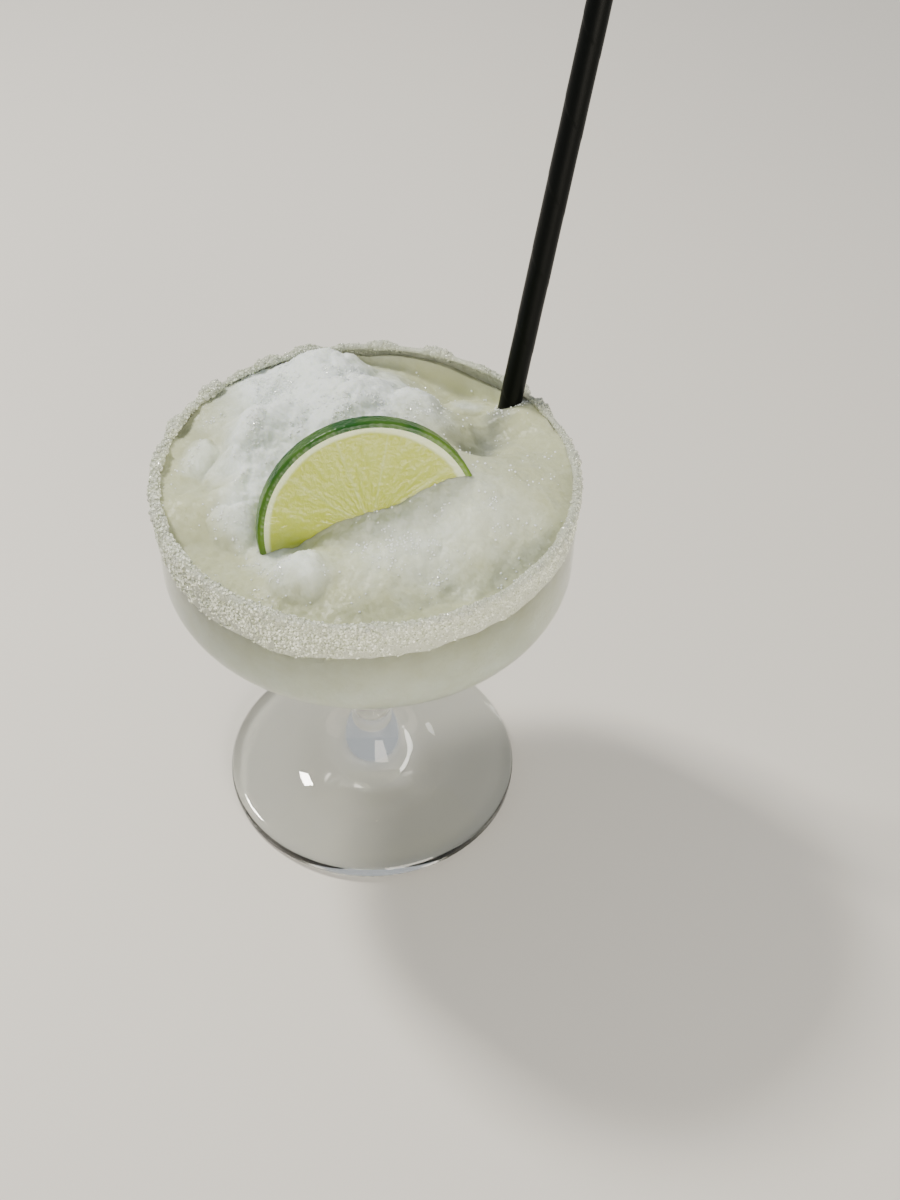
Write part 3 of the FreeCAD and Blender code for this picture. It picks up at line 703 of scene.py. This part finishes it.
def scatter_tree(name, make_grain):
    """A node tree that scatters one grain over a piece, by the piece's own density layer."""
    tree = bpy.data.node_groups.new(name, "GeometryNodeTree")
    face = tree.interface
    face.new_socket("Geometry", in_out="INPUT", socket_type="NodeSocketGeometry")
    for label, kind, value in (("Grain Size", "NodeSocketFloat", 0.0005),
                               ("Density", "NodeSocketFloat", 1e6),
                               ("Seed", "NodeSocketInt", 1),
                               ("Material", "NodeSocketMaterial", None)):
        socket = face.new_socket(label, in_out="INPUT", socket_type=kind)
        if value is not None:
            socket.default_value = value
    face.new_socket("Geometry", in_out="OUTPUT", socket_type="NodeSocketGeometry")
    given = add(tree, "NodeGroupInput").outputs
    layer = add(tree, "GeometryNodeInputNamedAttribute", {"data_type": "FLOAT"},
                {"Name": "grains"})
    dense = add(tree, "ShaderNodeMath", {"operation": "MULTIPLY"}, {
        0: layer.outputs["Attribute"], 1: given["Density"]})
    spread = add(tree, "GeometryNodeDistributePointsOnFaces", None, {
        "Mesh": given["Geometry"], "Density": dense.outputs[0], "Seed": given["Seed"]})
    turn = add(tree, "FunctionNodeRandomValue", {"data_type": "FLOAT_VECTOR"}, {
        "Min": (0, 0, 0), "Max": (TAU, TAU, TAU), "Seed": given["Seed"]})
    size = add(tree, "FunctionNodeRandomValue", {"data_type": "FLOAT"}, {
        2: SMALLEST_GRAIN, 3: LARGEST_GRAIN, "Seed": given["Seed"]})
    coarse = add(tree, "GeometryNodeInputNamedAttribute", {"data_type": "FLOAT"},
                 {"Name": "coarse"})
    local = add(tree, "ShaderNodeMath", {"operation": "MULTIPLY"}, {
        0: size.outputs[1], 1: coarse.outputs["Attribute"]})
    scale = add(tree, "ShaderNodeMath", {"operation": "MULTIPLY"}, {
        0: local.outputs[0], 1: given["Grain Size"]})
    grain = make_grain(tree)
    placed = add(tree, "GeometryNodeInstanceOnPoints", None, {
        "Points": spread.outputs["Points"], "Instance": grain.outputs["Mesh"],
        "Rotation": turn.outputs[0], "Scale": scale.outputs[0]})
    real = add(tree, "GeometryNodeRealizeInstances", None,
               {"Geometry": placed.outputs["Instances"]})
    finished = add(tree, "GeometryNodeSetMaterial", None, {
        "Geometry": real.outputs["Geometry"], "Material": given["Material"]})
    add(tree, "NodeGroupOutput", None, {"Geometry": finished.outputs["Geometry"]})
    return tree


def cube_grain(tree):
    """A salt crystal: nearly a cube, one unit wide."""
    return add(tree, "GeometryNodeMeshCube", None, {"Size": (1.0, 0.9, 0.75)})


def chip_grain(tree):
    """An ice chip: a small faceted bead one unit wide."""
    return add(tree, "GeometryNodeMeshIcoSphere", None, {"Radius": 0.5, "Subdivisions": 1})


def scatter(name, base, tree, material, size, density, seed):
    """Run a scatter tree over a piece and keep its result as a plain mesh object."""
    modifier = base.modifiers.new(name, "NODES")
    modifier.node_group = tree
    wanted = {"Grain Size": size, "Density": density, "Seed": seed, "Material": material}
    for socket in tree.interface.items_tree:
        if socket.in_out == "INPUT" and socket.name in wanted:
            modifier[socket.identifier] = wanted[socket.name]
    graph = bpy.context.evaluated_depsgraph_get()
    mesh = bpy.data.meshes.new_from_object(base.evaluated_get(graph))
    base.modifiers.remove(modifier)
    mesh.polygons.foreach_set("use_smooth", [False] * len(mesh.polygons))
    mesh.name = name
    piece = bpy.data.objects.new(name, mesh)
    bpy.context.scene.collection.objects.link(piece)
    return piece


class MARGARITA_OT_salt(bpy.types.Operator):
    """Build the salt crust: a core of damp salt, loose crystals and icy lumps on the lip"""
    bl_idname = "margarita.salt"
    bl_label = "Salt rim"

    def execute(self, context):
        look = settings("salt")
        core = self.core(look)
        grains = scatter("salt_crystals", core, scatter_tree("Salt Scatter", cube_grain),
                         salt_crystal(), look.grain, look.density, look.seed)
        lumps = self.lumps(look)
        for piece in (core, grains, lumps):
            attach(piece, "root")
        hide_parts("salt_rim")
        return {"FINISHED"}

    def core(self, look):
        """The damp salt on the lip and the outside of the wall, thin and uneven."""
        spokes, along, back = 1080, 46, 8
        turns = TAU * np.arange(spokes) / spokes
        upright = look.band / MM - WALL / 2
        path = upright + math.pi * WALL / 2
        share, turn = np.meshgrid(np.linspace(0, 1, along), turns, indexing="ij")
        flat = 0 * turn
        waver = lip_noise(turn, flat, 23, 1.0, 7) + 0.5 * lip_noise(turn, flat, 61, 1.0, 8)
        waver += 0.3 * lip_noise(turn, flat, 160, 1.0, 13)
        # The band is narrower at the right.
        narrow = 3.2 * np.clip(np.cos(turn + math.radians(15)), 0, 1)
        start = np.clip(waver, -1.6, 1.9) + narrow
        distance = start + share * (path - start)
        over = np.clip((distance - upright) / (WALL / 2), 0, math.pi)
        taper = np.clip(share / 0.4, 0, 1) * np.clip((1 - share) / 0.06, 0, 1) ** 0.5
        clump = lip_clumps(turn)
        edge = np.clip((distance - upright + 2.0) / 2.5, 0, 1)
        thin_right = 0.75 + 0.25 * np.cos(turn - math.pi)
        thick = 0.20 + 0.13 * lip_noise(turn, distance, 110, 2.9, 9)
        thick += 0.11 * lip_noise(turn, distance, 240, 1.3, 10)
        thick = thick * thin_right
        lumpy = 1 + 0.3 * lip_noise(turn, distance, 160, 2.0, 14)
        crest = (0.05 + 1.45 * clump**1.8) * lumpy
        thick = thick * (1 - edge) + edge * crest
        # A clump hangs down the outside a few millimetres from the lip.
        hang = np.clip(1 - (upright - distance) / (1.5 + 3.5 * clump), 0, 1)
        thick += 0.6 * clump * hang * (1 - edge)
        outer = self.path_points(turn, distance, over, upright, np.maximum(thick * taper, 0.0))
        # The core's inner side follows the glass, just inside it.
        share_in, turn_in = np.meshgrid(np.linspace(1, 0, back), turns, indexing="ij")
        start_in = np.broadcast_to(start[0], share_in.shape)
        distance_in = start_in + share_in * (path - start_in)
        over_in = np.clip((distance_in - upright) / (WALL / 2), 0, math.pi)
        inner = self.path_points(turn_in, distance_in, over_in, upright,
                                 np.full_like(turn_in, -SALT_INTO_GLASS))
        points = np.concatenate([outer.reshape(-1, 3), inner.reshape(-1, 3)])
        faces = band_faces(along + back, spokes, closed_rings=True)
        # Crystals lie in patches, and coarser ones at the left.
        patchy = np.clip(1.0 + 0.9 * lip_noise(turn, distance, 70, 4.0, 12), 0.35, 1.8)
        cover = (0.2 + 0.8 * taper) * (1 - 0.6 * edge * (1 - clump)) * patchy
        grains = np.concatenate([cover.ravel(), np.zeros(back * spokes)])
        coarse = 0.75 + 0.5 * np.clip(np.cos(turn - math.radians(205)), -0.4, 1)
        coarse = np.concatenate([coarse.ravel(), np.zeros(back * spokes)])
        return mesh_piece("salt_crust", points, faces, [damp_salt()],
                          {"grains": grains, "coarse": coarse})

    def path_points(self, turn, distance, over, upright, offset):
        """Points on the glass's outside and over its lip, moved off the glass by an offset."""
        half = WALL / 2
        on_lip = distance > upright
        radius = np.where(on_lip, RIM_RADIUS - half + (half + offset) * np.cos(over),
                          RIM_RADIUS + offset)
        z = np.where(on_lip, LIP - half + (half + offset) * np.sin(over),
                     LIP - half - (upright - distance))
        return np.stack([radius * np.cos(turn), radius * np.sin(turn), z], axis=-1)

    def lumps(self, look):
        """Icy lumps set on the lip's edge, gathered where the salt is thickest."""
        chance = np.random.default_rng(look.seed)
        bead, triangles = round_bead(7, 5)
        points, faces = [], []
        while len(faces) < look.lumps * len(triangles):
            turn = chance.uniform(0, TAU)
            clump = float(lip_clumps(np.array([turn]))[0])
            if chance.uniform(0, 1) > clump**2:
                continue
            size = chance.uniform(0.3, 0.5 + 0.55 * clump)
            over = chance.uniform(-0.3, math.pi * 0.75)
            off = WALL / 2 + 1.1 * clump**1.7
            radius = RIM_RADIUS - WALL / 2 + off * math.cos(over)
            height = LIP - WALL / 2 + off * math.sin(over) - max(-over, 0) * 8
            centre = Vector((radius * math.cos(turn), radius * math.sin(turn), height))
            stretch = Vector([chance.uniform(0.65, 1.2) for _ in range(3)])
            first = len(points)
            for corner in bead:
                bulge = size * (1 + chance.uniform(-0.12, 0.12))
                points.append(centre + Vector([a * b * bulge for a, b in zip(corner, stretch)]))
            faces += [[first + i for i in face] for face in triangles]
        return mesh_piece("salt_lumps", [tuple(p) for p in points], faces, [icy_salt()])


def round_bead(around, along):
    """Points and faces of a ball of few faces, one unit in radius."""
    ball = bmesh.new()
    bmesh.ops.create_uvsphere(ball, u_segments=around, v_segments=along, radius=1.0)
    points = [tuple(v.co) for v in ball.verts]
    faces = [[v.index for v in f.verts] for f in ball.faces]
    ball.free()
    return points, faces


def lime_matrix():
    """From the wheel's own plane to the drink: x across, y up the wheel, z out of its cut face."""
    turn = Matrix.Rotation(math.radians(LIME_TURN), 4, "Z")
    upright = Matrix.Rotation(math.radians(90 - LIME_LEAN), 4, "X")
    return Matrix.Translation(Vector(LIME_CENTRE)) @ turn @ upright


class MARGARITA_OT_lime(bpy.types.Operator):
    """Build the lime wheel with its pulp, membranes, pith and rind"""
    bl_idname = "margarita.lime"
    bl_label = "Lime wheel"

    def execute(self, context):
        look = settings("lime")
        radius, thickness = look.radius / MM, look.thickness / MM
        rind, pith = look.rind / MM, look.pith / MM
        spokes, rings, side = 360, 84, 14
        turns = TAU * np.arange(spokes) / spokes
        round_off = 0.55
        flat = np.linspace(0, radius - round_off, rings + 1)[1:]
        corner = np.linspace(0, math.pi / 2, 4)[1:]
        edge_r = radius - round_off + round_off * np.sin(corner)
        edge_z = round_off * (np.cos(corner) - 1)
        profile_r = np.concatenate([flat, edge_r])
        profile_z = np.concatenate([np.zeros(rings), edge_z])
        depth = np.linspace(-round_off, -thickness + round_off, side + 2)[1:-1]
        profile_r = np.concatenate([profile_r, np.full(side, radius), profile_r[::-1]])
        profile_z = np.concatenate([profile_z, depth, -thickness - profile_z[::-1]])
        r, turn = np.meshgrid(profile_r, turns, indexing="ij")
        z = np.broadcast_to(profile_z[:, None], r.shape).copy()
        membrane, sac, relief = self.pulp(r, turn, radius, rind, pith, look.segments)
        front = np.broadcast_to((np.arange(len(profile_r)) < rings)[:, None], r.shape)
        behind = front[::-1]
        z += np.where(front, relief, 0) - np.where(behind, relief, 0)
        belly = 1 + 0.004 * np.sin(2 * turn + 0.8) + 0.003 * np.sin(3 * turn)
        pores = 0.05 * lip_noise(turn, z, 150, 1.1, 31)
        on_rind = ~(front | behind)
        r = r * (belly - 0.004) + np.where(on_rind, pores, 0)
        local = np.stack([r * np.cos(turn), r * np.sin(turn), z], axis=-1).reshape(-1, 3)
        local = np.concatenate([local, [[0, 0, 0], [0, 0, -thickness]]])
        place = np.array(lime_matrix())
        points = local @ place[:3, :3].T + place[:3, 3]
        faces = turned_faces(len(profile_r), spokes)
        middle = (profile_r[:-1] + profile_r[1:]) / 2 > radius - rind
        kinds = np.concatenate([np.repeat(middle, spokes), np.zeros(2 * spokes, bool)])
        ripe = 0.75 - 0.75 * np.sin(turn - 0.35)
        ripe = np.clip(ripe + 0.25 * lip_noise(turn, z, 40, 3, 33), 0, 1)
        # The two middle points come last in each layer.
        layers = {key: np.concatenate([values.ravel(), [1.0, 1.0]])
                  for key, values in (("membrane", membrane), ("sac", sac), ("ripe", ripe))}
        piece = mesh_piece("lime_wheel", points, faces, [cut_lime(), lime_rind()], layers, kinds)
        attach(piece, "root")
        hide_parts("lime_slice")
        return {"FINISHED"}

    def pulp(self, r, turn, radius, rind, pith, segments):
        """Pale membranes and pith, the juice sacs' tone, and the relief of the cut face."""
        wide = 0.75 + 0.45 * np.clip(np.cos(turn - 0.3), 0, 1)
        pulp_edge = radius - rind - pith * wide + 0.35 * lip_noise(turn, 0 * r, 21, 1.0, 41)
        sides = TAU / segments
        shift = 0.09 * np.sin(3 * turn + 1.0) + 0.05 * np.sin(5 * turn)
        across = (np.mod(turn + shift, sides) - sides / 2)
        off = r * (sides / 2 - np.abs(across))
        membrane = np.exp(-(off / 0.35) ** 2) * 0.2
        membrane = np.maximum(membrane, np.clip((r - pulp_edge) / 0.7 + 0.5, 0, 1))
        membrane = np.maximum(membrane, np.clip((1.9 - r) / 0.8 + 0.5, 0, 1))
        cells = 96
        long = r / 5.5 + 0.4 * lip_noise(turn, r, 30, 4, 42)
        sac = 0.5 + 0.5 * soft_noise(turn / TAU * cells, long * 2.2, 43, cells)
        sac = np.clip(sac + 0.35 * soft_noise(turn / TAU * 210, r / 1.6, 44, 210), 0, 1)
        rays = np.clip(lip_noise(turn, 0 * r, 170, 1.0, 45) - 0.3, 0, 1)
        rays *= np.clip(1 - (pulp_edge - r) / 3.5, 0, 1)
        membrane = np.maximum(membrane, 0.5 * rays)
        relief = 0.09 * (sac - 0.5) * (1 - membrane) + 0.08 * membrane
        return np.clip(membrane, 0, 1), sac, relief


def straw_matrix():
    """From the straw's own axis to the drink, with its lower end at the origin."""
    azimuth, lean = math.radians(STRAW_AZIMUTH), math.radians(STRAW_LEAN)
    low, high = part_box("straw")
    direction = Vector((math.cos(azimuth) * math.sin(lean), math.sin(azimuth) * math.sin(lean),
                        math.cos(lean)))
    centre = (Vector(low) + Vector(high)) / 2 / MM
    base = centre - direction * settings("straw").length / MM / 2
    return Matrix.Translation(base) @ direction.to_track_quat("Z", "Y").to_matrix().to_4x4()


def straw_foot():
    """Where the straw leaves the slush, a little below the lip."""
    matrix = straw_matrix()
    base, top = matrix.translation, matrix @ Vector((0, 0, 100))
    return base.lerp(top, (LIP - FOOT_DROP - base.z) / (top.z - base.z))


class MARGARITA_OT_straw(bpy.types.Operator):
    """Build the straw as a tube wound from a strip of paper"""
    bl_idname = "margarita.straw"
    bl_label = "Straw"

    def execute(self, context):
        look = settings("straw")
        spokes, steps = 72, 560
        turns = TAU * np.arange(spokes) / spokes
        height = np.linspace(0, look.length / MM, steps)
        z, turn = np.meshgrid(height, turns, indexing="ij")
        around = np.mod(turn / TAU + z / (look.winding / MM), 1.0)
        step = np.clip(1 - around / 0.7, 0, 1) - np.clip(1 - around / 0.035, 0, 1)
        seam = look.seam / MM * step
        dents = 0.02 * lip_noise(turn, z, 9, 6.0, 51)
        outer_r = STRAW_RADIUS - 0.03 + seam + dents
        outer = np.stack([outer_r * np.cos(turn), outer_r * np.sin(turn), z], axis=-1)
        bore = STRAW_RADIUS - look.wall / MM
        inner_rows = np.linspace(height[-1], 0, 24)
        iz, iturn = np.meshgrid(inner_rows, turns, indexing="ij")
        inner = np.stack([bore * np.cos(iturn), bore * np.sin(iturn), iz], axis=-1)
        local = np.concatenate([outer.reshape(-1, 3), inner.reshape(-1, 3)])
        place = np.array(straw_matrix())
        points = local @ place[:3, :3].T + place[:3, 3]
        faces = band_faces(steps + len(inner_rows), spokes, closed_rings=True)
        piece = mesh_piece("paper_straw", points, faces, [straw_paper()])
        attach(piece, "root")
        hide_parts("straw")
        return {"FINISHED"}


class MARGARITA_OT_stage(bpy.types.Operator):
    """Set the pale floor, the soft studio light and the camera"""
    bl_idname = "margarita.stage"
    bl_label = "Stage"

    def execute(self, context):
        look = settings("stage")
        size = 3.0
        bpy.ops.mesh.primitive_plane_add(size=size, location=(0, 0, -0.0003))
        floor = context.object
        floor.name = "floor"
        floor.data.materials.append(studio_board())
        self.lamp("key", (-0.42, 0.30, 0.72), 0.12, look.key, "#FFFBF2")
        self.lamp("fill", (0.40, -0.78, 0.32), 0.5, look.fill, "#FFF6E6")
        world = bpy.data.worlds.new("studio")
        context.scene.world = world
        world.use_nodes = True
        sky = world.node_tree.nodes["Background"].inputs
        sky["Color"].default_value = opaque(srgb("#E9EDF2"))
        sky["Strength"].default_value = 0.58
        self.camera(context, look)
        return {"FINISHED"}

    def lamp(self, name, place, size, power, tint):
        light = bpy.data.lights.new(name, "AREA")
        light.color = srgb(tint)
        light.size = size
        light.energy = power
        lamp = bpy.data.objects.new(name, light)
        bpy.context.scene.collection.objects.link(lamp)
        lamp.location = place
        aim = Vector((0, 0, 0.1)) - Vector(place)
        lamp.rotation_euler = aim.to_track_quat("-Z", "Y").to_euler()

    def camera(self, context, look):
        """The camera looks down at the drink from the front, turned slightly about its view."""
        tilt, roll = math.radians(45.91), math.radians(1.82)
        forward = Vector((0, math.cos(tilt), -math.sin(tilt)))
        right = Vector((1, 0, 0))
        up = right.cross(forward)
        across = right * math.cos(roll) + up * math.sin(roll)
        upward = up * math.cos(roll) - right * math.sin(roll)
        data = bpy.data.cameras.new("camera")
        data.lens = look.lens
        data.clip_start = 0.01
        camera = bpy.data.objects.new("camera", data)
        context.scene.collection.objects.link(camera)
        turn = Matrix((across, upward, -forward)).transposed().to_4x4()
        camera.matrix_world = Matrix.Translation((0.0212, -0.2928, 0.3713)) @ turn
        context.scene.camera = camera


class MARGARITA_PT_panel(bpy.types.Panel):
    """Sizes, colours and build steps of the drink"""
    bl_idname = "MARGARITA_PT_panel"
    bl_label = "Frozen Margarita"
    bl_space_type = "VIEW_3D"
    bl_region_type = "UI"
    bl_category = "Margarita"

    def draw(self, context):
        for operator in OPERATORS:
            name = operator.bl_idname.split(".")[1]
            box = self.layout.box()
            group = settings(name)
            for key in group.bl_rna.properties.keys():
                if key not in ("rna_type", "name"):
                    box.prop(group, key)
            box.operator(operator.bl_idname)


OPERATORS = (
    MARGARITA_OT_glass,
    MARGARITA_OT_slush,
    MARGARITA_OT_salt,
    MARGARITA_OT_lime,
    MARGARITA_OT_straw,
    MARGARITA_OT_stage,
)


def register():
    for group in (*SETTINGS.values(), *OPERATORS, MARGARITA_PT_panel):
        bpy.utils.register_class(group)
    for name, group in SETTINGS.items():
        setattr(bpy.types.Scene, "margarita_" + name, PointerProperty(type=group))


def unregister():
    for name in SETTINGS:
        delattr(bpy.types.Scene, "margarita_" + name)
    for group in (MARGARITA_PT_panel, *OPERATORS, *SETTINGS.values()):
        bpy.utils.unregister_class(group)


def main():
    register()
    for operator in OPERATORS:
        getattr(bpy.ops.margarita, operator.bl_idname.split(".")[1])()


if __name__ == "__main__":
    main()
